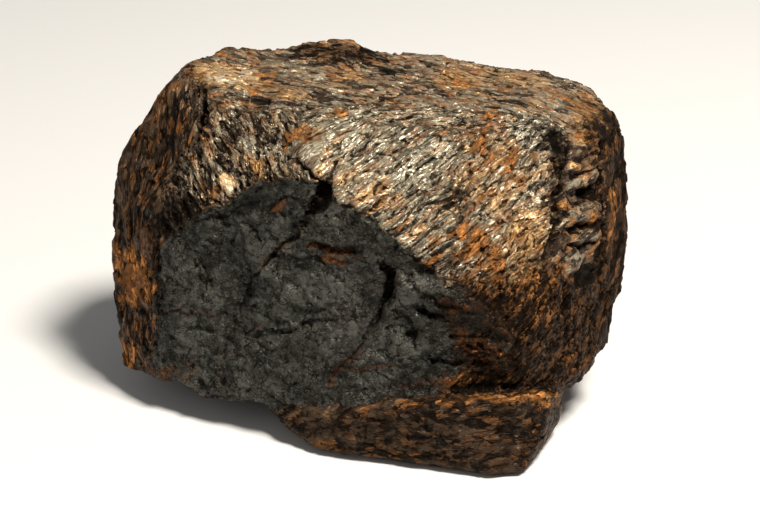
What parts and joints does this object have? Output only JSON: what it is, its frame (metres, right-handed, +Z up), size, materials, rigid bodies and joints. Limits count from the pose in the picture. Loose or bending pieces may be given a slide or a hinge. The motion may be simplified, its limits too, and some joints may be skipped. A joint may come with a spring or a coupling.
{
  "type": "magnetite specimen",
  "caption": "Natural hand specimen of massive magnetite: one blocky lump with a fibrous flank, a fresh dark fracture and a flat base to rest on.",
  "frame": {"origin": "middle of the base of the bounding box, on the surface that the lump rests on", "axes": "+Z up from the base, -Y out of the front where the fresh fracture is, +X to the right seen from the front, along the lump's greatest length"},
  "size_m": [0.0828, 0.0586, 0.053],
  "materials": {
    "magnetite": "satin"
  },
  "bodies": {
    "root": {"magnetite_block": "magnetite"}
  },
  "joints": []
}
